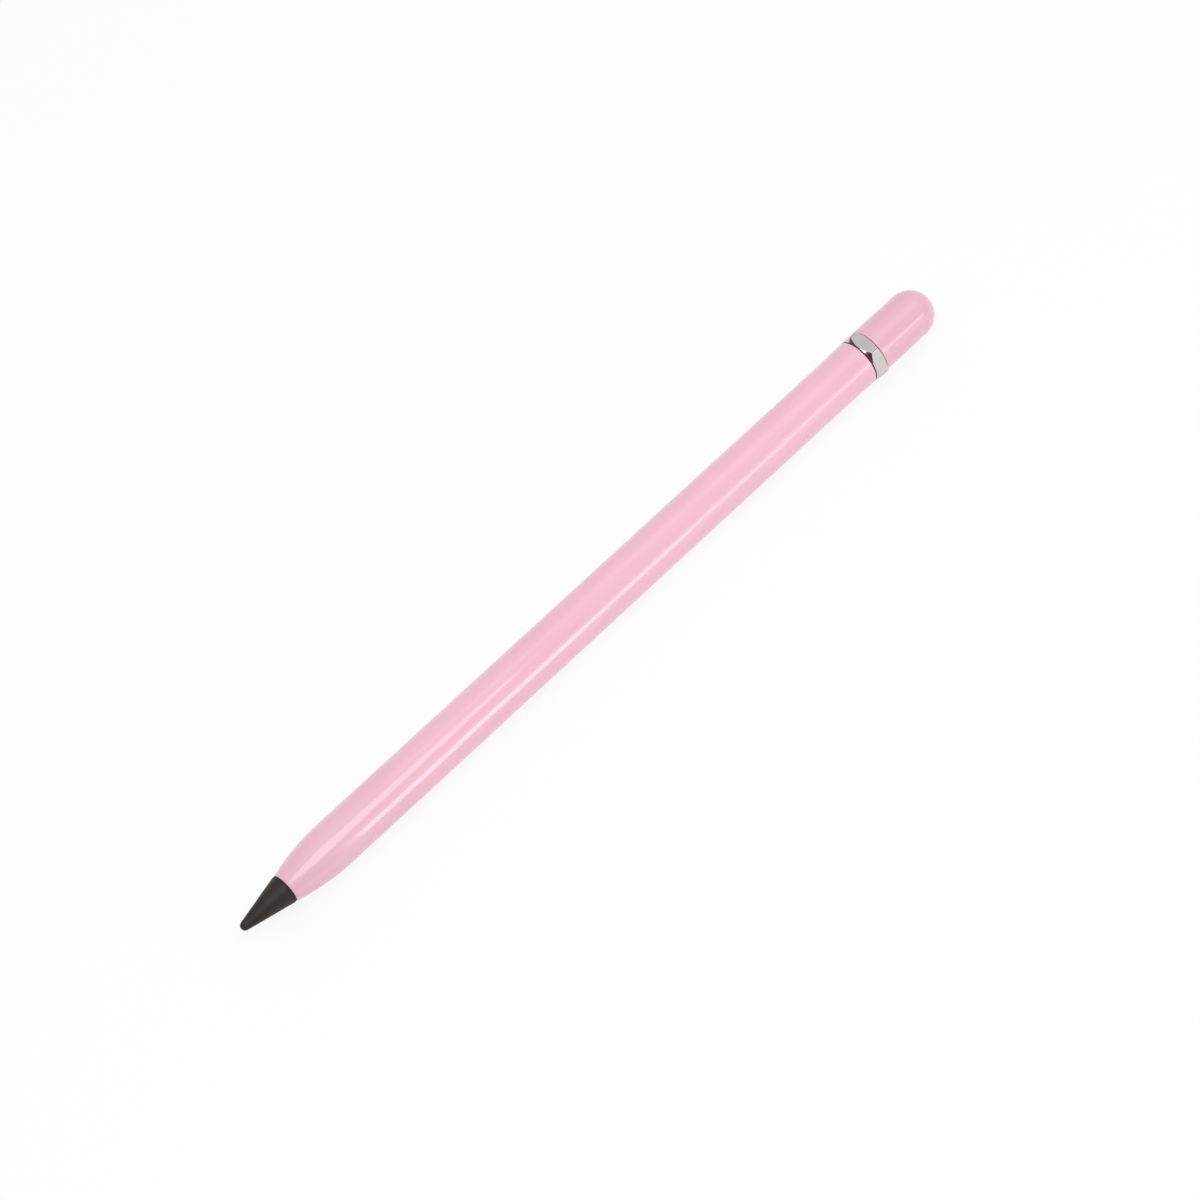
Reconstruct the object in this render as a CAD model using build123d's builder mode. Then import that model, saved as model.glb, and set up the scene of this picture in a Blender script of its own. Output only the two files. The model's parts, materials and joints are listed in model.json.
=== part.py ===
"""An inkless metal pencil, lying along X with its writing point towards -X and its cap towards +X.

Sizes are in millimetres. The origin is under the middle of the pencil, on the table that it lies on.
"""

import os
from math import acos, atan2, cos, hypot, radians, sin

from build123d import *

# Lengths along the axis, from the writing point to the dome.
NIB_LENGTH = 9.05
SEAL_THICKNESS = 0.25
BARREL_LENGTH = 129.7
RING_LENGTH = 2.7
CAP_SKIRT_LENGTH = 9.9

# Outside diameters.
BARREL_DIAMETER = 8.0
TAIL_DIAMETER = 8.2
NOSE_FACE_DIAMETER = 5.15
NIB_BASE_DIAMETER = 5.17
SEAL_DIAMETER = 5.05

# The barrel: a thick tube with a bullet nose and a slight swell towards its rear rim.
NOSE_LENGTH = 10.55
REAR_SWELL_LENGTH = 8.0
BARREL_BORE = 5.6
NOSE_WEB_LENGTH = 13.0
RIM_CHAMFER = 0.12

# The nib and its screw fixing.
NIB_TIP_RADIUS = 0.8
NIB_BASE_CHAMFER = 0.06
THREAD_DIAMETER = 3.0
THREAD_LENGTH = 5.0
STUD_SHANK_DIAMETER = 2.0
STUD_SHANK_LENGTH = 4.5
STUD_END_CHAMFER = 0.35
STUD_RELIEF_LENGTH = 0.5
STUD_RELIEF_DEPTH = 0.3
BUSH_DIAMETER = 4.2
BUSH_LENGTH = 8.0
BUSH_CHAMFER = 0.2
SEAL_BORE_CLEARANCE = 0.1

# The six-sided ring: flats level with the tail's diameter, corners chamfered at both ends, and a short
# neck at each end that leaves a groove beside the barrel and the cap. Depths and steps are on the radius.
RING_SIDES = 6
RING_FRONT_NECK_LENGTH = 0.2
RING_FRONT_NECK_DEPTH = 0.55
RING_FRONT_STEP = 0.05
RING_FRONT_CHAMFER = 0.75
RING_REAR_NECK_LENGTH = 0.12
RING_REAR_NECK_DEPTH = 0.3
RING_REAR_STEP = 0.08
RING_REAR_CHAMFER = 0.38
RING_CORNER_ROUND = 0.14

# The cap and its liner, then the sleeve in the tail and the eraser that it holds.
CAP_WALL = 0.5
CAP_RIM_CHAMFER = 0.1
LINER_LENGTH = 6.8
LINER_SETBACK = 0.4
LINER_WALL = 0.3
LINER_RIBS = 6
LINER_RIB_WIDTH = 0.9
LINER_RIB_HEIGHT = 0.2
SLEEVE_FRONT_LENGTH = 10.0
SLEEVE_SPIGOT_LENGTH = 7.5
SLEEVE_WALL = 0.75
SLEEVE_WEB = 1.5
SLEEVE_CHAMFER = 0.3
ERASER_SOCKET_DEPTH = 6.0
ERASER_HEADROOM = 2.0
ERASER_ROUND = 0.6

# Clearances, measured on the radius: pressed or glued pieces, and pieces that slide or turn.
BOND_GAP = 0.02
RUNNING_GAP = 0.05

# Stations along X and the height of the pencil's axis over the table.
cap_radius = TAIL_DIAMETER / 2
body_length = NIB_LENGTH + SEAL_THICKNESS + BARREL_LENGTH + RING_LENGTH
total_length = body_length + CAP_SKIRT_LENGTH + cap_radius
tip_x = -total_length / 2
nib_base_x = tip_x + NIB_LENGTH
nose_x = nib_base_x + SEAL_THICKNESS
rim_x = nose_x + BARREL_LENGTH
cap_x = rim_x + RING_LENGTH
dome_x = cap_x + CAP_SKIRT_LENGTH
end_x = dome_x + cap_radius
spigot_end_x = cap_x + SLEEVE_SPIGOT_LENGTH
socket_floor_x = spigot_end_x - ERASER_SOCKET_DEPTH
eraser_end_x = end_x - CAP_WALL - ERASER_HEADROOM
axis_height = max(BARREL_DIAMETER, TAIL_DIAMETER) / 2
pencil_axis = Axis((0, 0, axis_height), (1, 0, 0))

# Half profiles are drawn as (x, radius) on the plane that stands on the axis.
half_profile = Plane(origin=(0, 0, axis_height), x_dir=(1, 0, 0), z_dir=(0, -1, 0))


def facing_tail(x):
    """The cross-section plane at x that looks towards the cap."""
    return Plane(origin=(x, 0, axis_height), x_dir=(0, 1, 0), z_dir=(1, 0, 0))


def facing_tip(x):
    """The cross-section plane at x that looks towards the writing point."""
    return Plane(origin=(x, 0, axis_height), x_dir=(0, -1, 0), z_dir=(-1, 0, 0))


# Nib cone: the outline is tangent to the rounded point, and a blind hole takes the stud's shank.
nib_base_radius = NIB_BASE_DIAMETER / 2
point_to_base = hypot(NIB_LENGTH - NIB_TIP_RADIUS, nib_base_radius)
tangent_turn = atan2(nib_base_radius, NIB_LENGTH - NIB_TIP_RADIUS) + acos(NIB_TIP_RADIUS / point_to_base)
point_centre_x = tip_x + NIB_TIP_RADIUS
tangent_point = (
    point_centre_x + NIB_TIP_RADIUS * cos(tangent_turn),
    NIB_TIP_RADIUS * sin(tangent_turn),
)
shank_hole_depth = STUD_SHANK_LENGTH + BOND_GAP
with BuildPart() as nib_cone:
    with BuildSketch(half_profile):
        with BuildLine():
            point = TangentArc((tip_x, 0), tangent_point, tangent=(0, 1))
            Polyline(point @ 1, (nib_base_x, nib_base_radius), (nib_base_x, 0), (tip_x, 0))
        make_face()
    revolve(axis=pencil_axis)
    base_edge = nib_cone.edges().filter_by(GeomType.CIRCLE).sort_by(Axis.X)[-1]
    chamfer(base_edge, length=NIB_BASE_CHAMFER)
    with Locations(facing_tail(nib_base_x)):
        Hole(radius=STUD_SHANK_DIAMETER / 2 + BOND_GAP, depth=shank_hole_depth)

# Nib stud: a plain shank glued into the cone, a collar through the seal, a relief groove where the
# thread runs out, and the threaded length that screws into the bush.
stud_end_x = nose_x + THREAD_LENGTH
shank_end_x = nib_base_x - STUD_SHANK_LENGTH
thread_start_x = nose_x + STUD_RELIEF_LENGTH
relief_radius = THREAD_DIAMETER / 2 - STUD_RELIEF_DEPTH
with BuildPart() as nib_stud:
    with BuildSketch(half_profile):
        with BuildLine():
            Polyline(
                (shank_end_x, 0),
                (shank_end_x, STUD_SHANK_DIAMETER / 2),
                (nib_base_x, STUD_SHANK_DIAMETER / 2),
                (nib_base_x, THREAD_DIAMETER / 2),
                (nose_x, THREAD_DIAMETER / 2),
                (nose_x, relief_radius),
                (thread_start_x, relief_radius),
                (thread_start_x, THREAD_DIAMETER / 2),
                (stud_end_x, THREAD_DIAMETER / 2),
                (stud_end_x, 0),
                close=True,
            )
        make_face()
    revolve(axis=pencil_axis)
    chamfer(nib_stud.edges().filter_by(GeomType.CIRCLE).sort_by(Axis.X)[-1], length=STUD_END_CHAMFER)

# Nib seal: the flat black ring between the cone's base and the nose.
seal_bore_radius = THREAD_DIAMETER / 2 + SEAL_BORE_CLEARANCE
with BuildPart() as nib_seal:
    with BuildSketch(facing_tail(nib_base_x)):
        Circle(SEAL_DIAMETER / 2)
        Circle(seal_bore_radius, mode=Mode.SUBTRACT)
    extrude(amount=SEAL_THICKNESS)

# Nose bush: the threaded insert, flush with the nose.
thread_bore_radius = THREAD_DIAMETER / 2 + RUNNING_GAP
with BuildPart() as nose_bush:
    with BuildSketch(facing_tail(nose_x)):
        Circle(BUSH_DIAMETER / 2)
        Circle(thread_bore_radius, mode=Mode.SUBTRACT)
    extrude(amount=BUSH_LENGTH)
    rear_rings = nose_bush.edges().filter_by(GeomType.CIRCLE).group_by(Axis.X)[-1]
    chamfer(rear_rings.sort_by(SortBy.RADIUS)[-1], length=BUSH_CHAMFER)
    front_rings = nose_bush.edges().filter_by(GeomType.CIRCLE).group_by(Axis.X)[0]
    chamfer(front_rings.sort_by(SortBy.RADIUS)[0], length=BUSH_CHAMFER)

# Barrel: the nose is an arc tangent to the tube, stepped inside for the bush, with the long bore behind.
barrel_radius = BARREL_DIAMETER / 2
nose_end_x = nose_x + NOSE_LENGTH
swell_x = rim_x - REAR_SWELL_LENGTH
with BuildPart() as barrel:
    with BuildSketch(half_profile):
        with BuildLine():
            Line((nose_x, 0), (nose_x, NOSE_FACE_DIAMETER / 2))
            TangentArc(
                (nose_end_x, barrel_radius), (nose_x, NOSE_FACE_DIAMETER / 2), tangent=(-1, 0)
            )
            Line((nose_end_x, barrel_radius), (swell_x, barrel_radius))
            TangentArc((swell_x, barrel_radius), (rim_x, TAIL_DIAMETER / 2), tangent=(1, 0))
            Polyline((rim_x, TAIL_DIAMETER / 2), (rim_x, 0), (nose_x, 0))
        make_face()
    revolve(axis=pencil_axis)
    outer_rings = barrel.edges().filter_by(GeomType.CIRCLE).sort_by(Axis.X)
    chamfer([outer_rings[0], outer_rings[-1]], length=RIM_CHAMFER)
    with Locations(facing_tail(rim_x)):
        Hole(radius=BARREL_BORE / 2, depth=BARREL_LENGTH - NOSE_WEB_LENGTH)
    with Locations(facing_tip(nose_x)):
        CounterBoreHole(
            radius=thread_bore_radius,
            counter_bore_radius=BUSH_DIAMETER / 2 + BOND_GAP,
            counter_bore_depth=BUSH_LENGTH + BOND_GAP,
            depth=NOSE_WEB_LENGTH,
        )

# Hex ring: a slice of hexagon bar turned down at both ends, so that each flat has curved ends between
# the two necks.
ring_flat_radius = TAIL_DIAMETER / 2
ring_corner_radius = ring_flat_radius / cos(radians(180 / RING_SIDES))
front_neck_x = rim_x + RING_FRONT_NECK_LENGTH
front_neck_radius = ring_flat_radius - RING_FRONT_NECK_DEPTH
rear_neck_x = cap_x - RING_REAR_NECK_LENGTH
rear_neck_radius = ring_flat_radius - RING_REAR_NECK_DEPTH
with BuildPart() as hex_ring:
    with BuildSketch(facing_tail(rim_x)) as hexagon:
        RegularPolygon(radius=ring_flat_radius, side_count=RING_SIDES, major_radius=False)
        fillet(hexagon.vertices(), radius=RING_CORNER_ROUND)
    extrude(amount=RING_LENGTH)
    with BuildSketch(half_profile):
        with BuildLine():
            Polyline(
                (rim_x, 0),
                (rim_x, front_neck_radius),
                (front_neck_x, front_neck_radius),
                (front_neck_x, ring_flat_radius - RING_FRONT_STEP),
                (front_neck_x + RING_FRONT_CHAMFER, ring_corner_radius),
                (rear_neck_x - RING_REAR_CHAMFER, ring_corner_radius),
                (rear_neck_x, ring_flat_radius - RING_REAR_STEP),
                (rear_neck_x, rear_neck_radius),
                (cap_x, rear_neck_radius),
                (cap_x, 0),
                close=True,
            )
        make_face()
    revolve(axis=pencil_axis, mode=Mode.INTERSECT)
    with Locations(facing_tail(cap_x)):
        Hole(radius=BARREL_BORE / 2)

# Tail sleeve: a stepped moulding through the ring, its shoulder behind the ring, its rear end a socket.
# The spigot's size comes from the cap inwards: wall, liner, ribs and a running clearance.
liner_radius = cap_radius - CAP_WALL - BOND_GAP
liner_bore_radius = liner_radius - LINER_WALL
rib_radius = liner_bore_radius - LINER_RIB_HEIGHT
spigot_radius = rib_radius - RUNNING_GAP
eraser_radius = spigot_radius - SLEEVE_WALL - BOND_GAP
sleeve_front_x = rim_x - SLEEVE_FRONT_LENGTH
sleeve_front_radius = BARREL_BORE / 2 - BOND_GAP
core_depth = socket_floor_x - SLEEVE_WEB - sleeve_front_x
with BuildPart() as tail_sleeve:
    with BuildSketch(half_profile):
        with BuildLine():
            Polyline(
                (sleeve_front_x, 0),
                (sleeve_front_x, sleeve_front_radius),
                (cap_x, sleeve_front_radius),
                (cap_x, spigot_radius),
                (spigot_end_x, spigot_radius),
                (spigot_end_x, 0),
                close=True,
            )
        make_face()
    revolve(axis=pencil_axis)
    end_rings = tail_sleeve.edges().filter_by(GeomType.CIRCLE).sort_by(Axis.X)
    chamfer([end_rings[0], end_rings[-1]], length=SLEEVE_CHAMFER)
    with Locations(facing_tail(spigot_end_x)):
        Hole(radius=eraser_radius + BOND_GAP, depth=ERASER_SOCKET_DEPTH)
    with Locations(facing_tip(sleeve_front_x)):
        Hole(radius=sleeve_front_radius - SLEEVE_WALL, depth=core_depth)

# Eraser: a plug pushed to the floor of the socket, with a rounded end.
with BuildPart() as eraser:
    with BuildSketch(facing_tail(socket_floor_x)):
        Circle(eraser_radius)
    extrude(amount=eraser_end_x - socket_floor_x)
    fillet(eraser.edges().filter_by(GeomType.CIRCLE).sort_by(Axis.X)[-1], radius=ERASER_ROUND)

# Cap: a drawn cup with a half-round dome, hollowed to an even wall.
with BuildPart() as cap:
    with BuildSketch(half_profile):
        with BuildLine():
            Polyline((end_x, 0), (cap_x, 0), (cap_x, cap_radius), (dome_x, cap_radius))
            TangentArc((dome_x, cap_radius), (end_x, 0), tangent=(1, 0))
        make_face()
    revolve(axis=pencil_axis)
    offset(amount=-CAP_WALL, openings=cap.faces().filter_by(GeomType.PLANE).sort_by(Axis.X)[0])
    rim_rings = cap.edges().filter_by(GeomType.CIRCLE).group_by(Axis.X)[0]
    chamfer(rim_rings.sort_by(SortBy.RADIUS)[-1], length=CAP_RIM_CHAMFER)

# Cap liner: a thin moulded tube glued in the cap, whose ribs hold the sleeve's spigot.
rib_depth = LINER_RIB_HEIGHT + LINER_WALL / 2
with BuildPart() as cap_liner:
    with BuildSketch(facing_tail(cap_x + LINER_SETBACK)):
        Circle(liner_radius)
        Circle(liner_bore_radius, mode=Mode.SUBTRACT)
        with PolarLocations(rib_radius + rib_depth / 2, LINER_RIBS):
            Rectangle(rib_depth, LINER_RIB_WIDTH)
        Circle(rib_radius, mode=Mode.SUBTRACT)
    extrude(amount=LINER_LENGTH)

os.makedirs("parts", exist_ok=True)
pieces = {
    "nib_cone": nib_cone,
    "nib_stud": nib_stud,
    "nib_seal": nib_seal,
    "nose_bush": nose_bush,
    "barrel": barrel,
    "hex_ring": hex_ring,
    "tail_sleeve": tail_sleeve,
    "eraser": eraser,
    "cap": cap,
    "cap_liner": cap_liner,
}
for name, piece in pieces.items():
    piece.part.label = name
    export_step(piece.part, f"parts/{name}.step")
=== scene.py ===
import json
from math import acos, atan2, copysign, cos, hypot, pi, radians, sin, sqrt, tan

import bmesh
import bpy
from mathutils import Matrix, Vector


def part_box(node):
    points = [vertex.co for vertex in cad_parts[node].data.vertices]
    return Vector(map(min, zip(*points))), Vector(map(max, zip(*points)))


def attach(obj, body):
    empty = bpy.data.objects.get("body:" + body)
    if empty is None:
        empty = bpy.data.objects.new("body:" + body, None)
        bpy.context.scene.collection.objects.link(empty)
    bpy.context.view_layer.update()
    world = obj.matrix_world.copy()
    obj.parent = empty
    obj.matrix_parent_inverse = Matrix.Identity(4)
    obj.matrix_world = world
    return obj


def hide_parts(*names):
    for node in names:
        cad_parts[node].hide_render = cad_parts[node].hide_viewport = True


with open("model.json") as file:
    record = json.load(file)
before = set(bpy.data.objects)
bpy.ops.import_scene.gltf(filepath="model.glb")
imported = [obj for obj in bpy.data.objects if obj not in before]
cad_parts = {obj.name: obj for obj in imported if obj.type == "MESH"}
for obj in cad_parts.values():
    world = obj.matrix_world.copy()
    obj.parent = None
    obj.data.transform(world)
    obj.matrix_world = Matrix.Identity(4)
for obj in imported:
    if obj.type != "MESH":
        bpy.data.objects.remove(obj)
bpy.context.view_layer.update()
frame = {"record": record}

# Camera: a long lens above the writing end, rolled a little, so that the pencil lies across the picture
# from lower left to upper right. Its place comes from the outline, which narrows towards the cap.
mm = 0.001
camera_azimuth = radians(-38.538)
camera_elevation = radians(58.700)
camera_roll = radians(-8.339)
camera_distance = 642.0 * mm
camera_target = Vector((0.540, -0.074, 4.1)) * mm
camera_back = Vector((
    sin(camera_azimuth) * cos(camera_elevation),
    -cos(camera_azimuth) * cos(camera_elevation),
    sin(camera_elevation),
))
level_right = Vector((0, 0, 1)).cross(camera_back).normalized()
level_up = camera_back.cross(level_right)
camera_right = level_right * cos(camera_roll) + level_up * sin(camera_roll)
camera_up = level_up * cos(camera_roll) - level_right * sin(camera_roll)
lens = bpy.data.cameras.new("long_lens")
lens.sensor_width = 36.0
lens.lens = 121.37
lens.clip_start = 0.01
camera = bpy.data.objects.new("camera", lens)
camera.matrix_world = (
    Matrix.Translation(camera_target + camera_back * camera_distance)
    @ Matrix((camera_right, camera_up, camera_back)).transposed().to_4x4()
)
bpy.context.scene.collection.objects.link(camera)
bpy.context.scene.camera = camera
bpy.context.scene.view_settings.view_transform = "Standard"


# Studio: a white table in a white tent, brightest at the back and open towards the writing end, where a dim
# warm room shows. A round soft box and a dim panel hang overhead, a bar that rises towards the cap stands on
# the right before a sheet that glows around it, and a small white card stands on the left.
def add_node(tree, kind, inputs=None, **settings):
    """Adds a node with its settings, and sets or links its inputs."""
    made = tree.nodes.new(kind)
    for key, value in settings.items():
        setattr(made, key, value)
    for key, value in (inputs or {}).items():
        if isinstance(value, bpy.types.NodeSocket):
            tree.links.new(value, made.inputs[key])
        else:
            made.inputs[key].default_value = value
    return made


table_half = 2.0
table_mesh = bpy.data.meshes.new("table")
table_mesh.from_pydata(
    [(-table_half, -table_half, 0), (table_half, -table_half, 0), (table_half, table_half, 0),
     (-table_half, table_half, 0)],
    [], [(0, 1, 2, 3)],
)
table = bpy.data.objects.new("table", table_mesh)
bpy.context.scene.collection.objects.link(table)

# The camera sees the table mostly as plain white, with a faint shadow left on it, and gloss and metal mirror
# a part of that white.
share_seen = 0.86
share_mirrored = 0.35
table_white = bpy.data.materials.new("table_white")
table_white.use_nodes = True
nodes = table_white.node_tree
nodes.nodes.clear()
lit = add_node(nodes, "ShaderNodeBsdfDiffuse", {"Color": (0.92, 0.92, 0.92, 1)})
glow = add_node(nodes, "ShaderNodeEmission", {"Color": (1, 1, 1, 1), "Strength": 1.0})
path = add_node(nodes, "ShaderNodeLightPath")
seen = add_node(
    nodes, "ShaderNodeMath", {0: path.outputs["Is Camera Ray"], 1: share_seen}, operation="MULTIPLY",
)
mirrored = add_node(
    nodes, "ShaderNodeMath", {0: path.outputs["Is Glossy Ray"], 1: share_mirrored}, operation="MULTIPLY",
)
shown_white = add_node(
    nodes, "ShaderNodeMath", {0: seen.outputs[0], 1: mirrored.outputs[0]}, operation="MAXIMUM",
)
table_mix = add_node(
    nodes, "ShaderNodeMixShader", {0: shown_white.outputs[0], 1: lit.outputs[0], 2: glow.outputs[0]},
)
add_node(nodes, "ShaderNodeOutputMaterial", {"Surface": table_mix.outputs[0]})
table_mesh.materials.append(table_white)

tent = bpy.data.worlds.new("tent")
tent.use_nodes = True
bpy.context.scene.world = tent
nodes = tent.node_tree
nodes.nodes.clear()
direction = add_node(nodes, "ShaderNodeTexCoord").outputs["Generated"]


def soft_step(value, start, end, low, high):
    """A tent value that goes smoothly from low to high as value goes from start to end."""
    made = add_node(
        nodes, "ShaderNodeMapRange",
        {"Value": value, "From Min": start, "From Max": end, "To Min": low, "To Max": high},
        interpolation_type="SMOOTHSTEP",
    )
    return made.outputs[0]


back_of_tent = Vector((0.15, 0.80, 0.60)).normalized()
towards_back = add_node(
    nodes, "ShaderNodeVectorMath", {0: direction, 1: back_of_tent}, operation="DOT_PRODUCT",
)
cloth = soft_step(towards_back.outputs["Value"], start=-0.3, end=0.6, low=0.32, high=0.76)
heading = add_node(nodes, "ShaderNodeSeparateXYZ", {0: direction})
towards_tip = soft_step(heading.outputs["X"], start=-0.36, end=-0.52, low=0.0, high=1.0)
low_down = soft_step(heading.outputs["Z"], start=0.40, end=0.60, low=0.9, high=0.0)
opening = add_node(nodes, "ShaderNodeMath", {0: towards_tip, 1: low_down}, operation="MULTIPLY")
dim_room = (0.085, 0.030, 0.035, 1)
tent_light = add_node(
    nodes, "ShaderNodeMix", {"Factor": opening.outputs[0], "A": cloth, "B": dim_room}, data_type="RGBA",
)
path = add_node(nodes, "ShaderNodeLightPath")
seen = add_node(
    nodes, "ShaderNodeMix",
    {"Factor": path.outputs["Is Camera Ray"], "A": tent_light.outputs["Result"], "B": (1, 1, 1, 1)},
    data_type="RGBA",
)
tent_wall = add_node(nodes, "ShaderNodeBackground", {"Color": seen.outputs["Result"], "Strength": 1.0})
add_node(nodes, "ShaderNodeOutputWorld", {"Surface": tent_wall.outputs[0]})


def add_soft_box(name, shape, width, height, radiance, place, facing, along):
    """A lamp at place that shines towards facing, its width laid along, radiance times as bright as white."""
    lamp = bpy.data.lights.new(name, "AREA")
    lamp.shape = shape
    lamp.size = width
    lamp.size_y = height
    area = width * height * (pi / 4 if shape == "ELLIPSE" else 1)
    lamp.energy = radiance * pi * area
    box = bpy.data.objects.new(name, lamp)
    away, along = -Vector(facing).normalized(), Vector(along).normalized()
    turned = Matrix((along, away.cross(along), away)).transposed().to_4x4()
    box.matrix_world = Matrix.Translation(place) @ turned
    box.visible_camera = False
    bpy.context.scene.collection.objects.link(box)


add_soft_box(
    "overhead_box", "ELLIPSE", width=0.371, height=0.37, radiance=2.75,
    place=(-0.0445, -0.165, 0.50), facing=(0, 0, -1), along=(1, 0, 0),
)
add_soft_box(
    "ceiling_panel", "RECTANGLE", width=0.50, height=0.19, radiance=0.6,
    place=(0.288, 0.051, 0.50), facing=(0, 0, -1), along=(0.6, -0.8, 0),
)
add_soft_box(
    "left_card", "RECTANGLE", width=0.26, height=0.11, radiance=2.2,
    place=(-0.50, 0.06, 0.345), facing=(1, 0, -0.6), along=(0, 1, 0),
)
add_soft_box(
    "right_sheet", "RECTANGLE", width=0.33, height=0.48, radiance=0.9,
    place=(0.255, -0.61, 0.24), facing=(0, 1, 0), along=(1, 0, 0),
)
bar_start = Vector((0.098, -0.60, 0.1544))
bar_rise = radians(19.8)
bar_lean = radians(3.2)
bar_width = 0.352
bar_height = 0.225
height_loss = 0.017
bar_radiances = (4.5, 5.0, 4.2, 2.8, 2.4, 2.0, 2.0)
for number, radiance in enumerate(bar_radiances):
    box_width = bar_width / len(bar_radiances)
    along_bar = box_width * (number + 0.5)
    add_soft_box(
        f"right_bar_{number}", "RECTANGLE", width=box_width, height=bar_height - height_loss * number,
        radiance=radiance, place=bar_start + Vector((along_bar, 0, along_bar * tan(bar_rise))),
        facing=(0, 1, 0), along=(cos(bar_lean), 0, -sin(bar_lean)),
    )


# Barrel: an aluminium tube turned to a bullet nose, stepped inside for the bush and bored from the rear.
# Its outside is sprayed in glossy pink lacquer; the bore stays bare. It swells slightly before its rear rim.
mounts = {mount["name"]: mount for mount in frame["record"]["mounts"]}
axis_z = mounts["barrel_grip"]["pos_m"][2]
around = 144
touching = 1e-7


def smooth_mesh(name, made, sharp_angle=radians(32)):
    """Closes the shape's seams, turns its faces outwards and keeps the edges that are really sharp."""
    bmesh.ops.remove_doubles(made, verts=made.verts, dist=touching)
    bmesh.ops.recalc_face_normals(made, faces=made.faces)
    mesh = bpy.data.meshes.new(name)
    made.to_mesh(mesh)
    made.free()
    mesh.shade_smooth()
    mesh.set_sharp_from_angle(angle=sharp_angle)
    return mesh


def add_object(name, mesh, *materials):
    """Links the mesh as a piece with its materials."""
    for material in materials:
        mesh.materials.append(material)
    made = bpy.data.objects.new(name, mesh)
    bpy.context.scene.collection.objects.link(made)
    return made


def round_corners(corners, steps=5):
    """A profile of (x, radius) points from corners of (x, radius, fillet), each fillet drawn as an arc."""
    profile = []
    for before, corner, after in zip([corners[-1]] + corners, corners, corners[1:] + corners[:1]):
        here, fillet = Vector(corner[:2]), corner[2]
        if fillet == 0:
            profile.append(tuple(here))
            continue
        back = (Vector(before[:2]) - here).normalized()
        ahead = (Vector(after[:2]) - here).normalized()
        half = back.angle(ahead) / 2
        centre = here + (back + ahead).normalized() * (fillet / sin(half))
        start = here + back * (fillet / tan(half)) - centre
        end = here + ahead * (fillet / tan(half)) - centre
        for step in range(steps + 1):
            spoke = start.lerp(end, step / steps).normalized() * fillet
            profile.append(tuple(centre + spoke))
    return profile


def turn(*profiles, closed=False, wall=None):
    """Lathe shapes of (x, radius) points about the pencil's axis, with a ready-made wall joined to them."""
    made = bmesh.new()
    if wall:
        made.from_mesh(wall)
    for profile in profiles:
        rings = []
        for x, radius in profile:
            spokes = around if radius > touching else 1
            turns = [2 * pi * step / spokes for step in range(spokes)]
            rings.append([made.verts.new((x, radius * cos(a), axis_z + radius * sin(a))) for a in turns])
        followers = rings[1:] + rings[:1] if closed else rings[1:]
        for ring, follower in zip(rings, followers):
            for step in range(around):
                corners = [ring[step % len(ring)], ring[(step + 1) % len(ring)]]
                corners += [follower[(step + 1) % len(follower)], follower[step % len(follower)]]
                made.faces.new(list(dict.fromkeys(corners)))
    return made


def tangent_arc(straight, away, steps):
    """Points of the arc that leaves the point straight along the axis and ends at the point away."""
    run, drop = away[0] - straight[0], away[1] - straight[1]
    bow = (run * run + drop * drop) / (2 * abs(drop))
    points = []
    for step in range(steps + 1):
        along = run * step / steps
        bend = bow - sqrt(bow * bow - along * along)
        points.append((straight[0] + along, straight[1] + copysign(bend, drop), 0))
    return points


nose_x, rim_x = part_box("barrel")[0].x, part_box("barrel")[1].x
barrel_radius = 4.0 * mm
tail_radius = 4.1 * mm
nose_face_radius = 2.575 * mm
nose_end_x = nose_x + 10.55 * mm
swell_x = rim_x - 8.0 * mm
bore_radius = 2.8 * mm
bush_seat_radius = 2.12 * mm
bush_seat_x = nose_x + 8.02 * mm
nose_bore_radius = 1.55 * mm
web_x = nose_x + 13.0 * mm
nose_edge_round = 0.1 * mm
rim_round = 0.15 * mm
bore_edge_round = 0.1 * mm
nose_curve = tangent_arc((nose_end_x, barrel_radius), (nose_x, nose_face_radius), steps=28)[::-1]
swell_curve = tangent_arc((swell_x, barrel_radius), (rim_x, tail_radius), steps=10)
outside = nose_curve + swell_curve
outside[0] = (*outside[0][:2], nose_edge_round)
outside[-1] = (*outside[-1][:2], rim_round)
inside = [
    (rim_x, bore_radius, bore_edge_round),
    (web_x, bore_radius, 0),
    (web_x, nose_bore_radius, 0),
    (bush_seat_x, nose_bore_radius, 0),
    (bush_seat_x, bush_seat_radius, 0),
    (nose_x, bush_seat_radius, 0),
]
barrel_mesh = smooth_mesh("barrel", turn(round_corners(outside + inside), closed=True))


def make_group(name, inputs, outputs):
    """A shader group with number inputs and number outputs; returns its tree, its inputs and its outputs."""
    group = bpy.data.node_groups.new(name, "ShaderNodeTree")
    for label, value in inputs.items():
        socket = group.interface.new_socket(label, in_out="INPUT", socket_type="NodeSocketFloat")
        socket.default_value = value
    for label in outputs:
        group.interface.new_socket(label, in_out="OUTPUT", socket_type="NodeSocketFloat")
    return group, group.nodes.new("NodeGroupInput").outputs, group.nodes.new("NodeGroupOutput").inputs


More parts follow.
